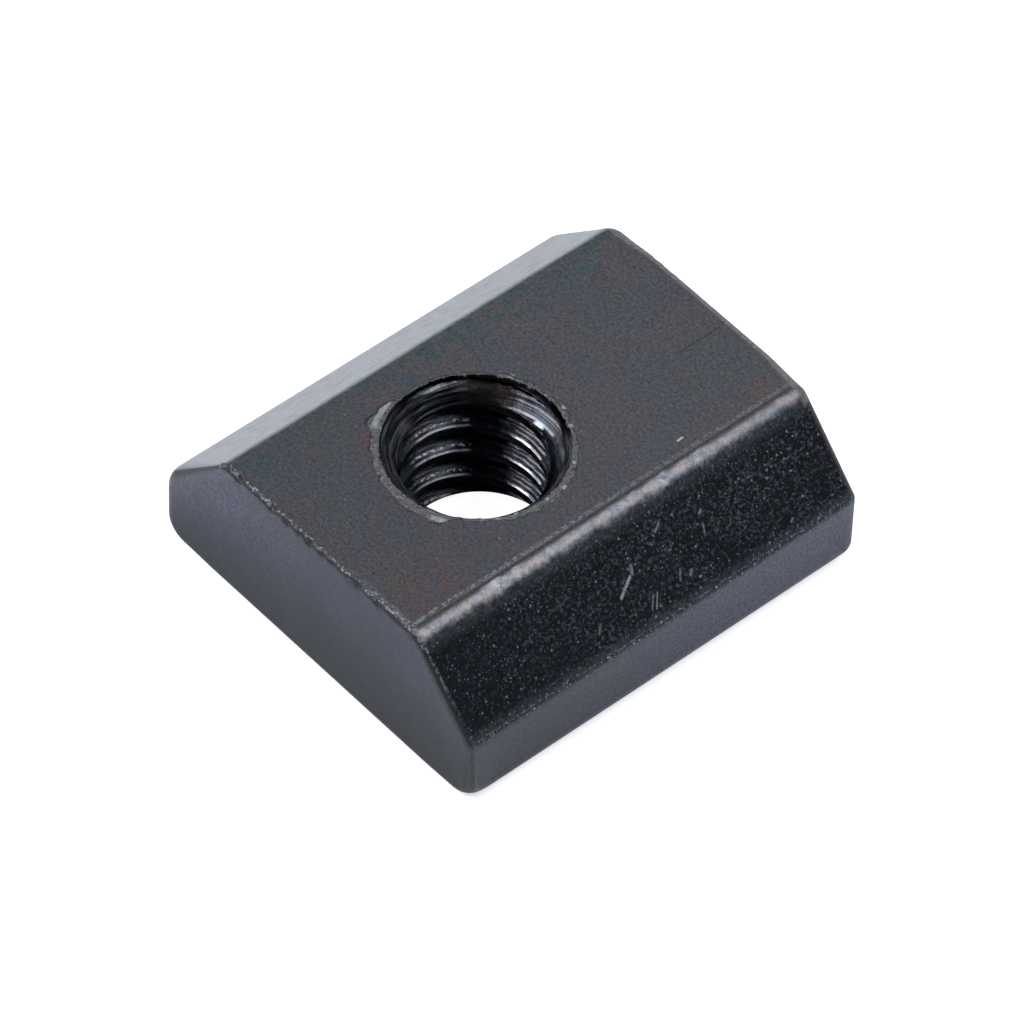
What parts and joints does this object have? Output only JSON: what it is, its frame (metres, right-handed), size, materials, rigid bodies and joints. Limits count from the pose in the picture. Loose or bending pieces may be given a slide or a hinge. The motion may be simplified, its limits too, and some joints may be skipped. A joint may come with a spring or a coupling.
{
  "type": "t-slot nut",
  "caption": "Black steel nut with sloped shoulders that slides in a T-slot and takes a bolt in its countersunk threaded hole.",
  "frame": {"origin": "on the base, under the middle of the block", "axes": "+Z from the base to the flat top, along the threaded hole; +Y along the slot, with the hole nearer the -Y end; +X across the slot"},
  "size_m": [0.0162, 0.0178, 0.0063],
  "materials": {
    "black_oxide_steel": "black oxide, satin on the top and the cut ends and glossy on the drawn shoulders"
  },
  "bodies": {
    "root": {"t_slot_nut": "black_oxide_steel"}
  },
  "joints": []
}
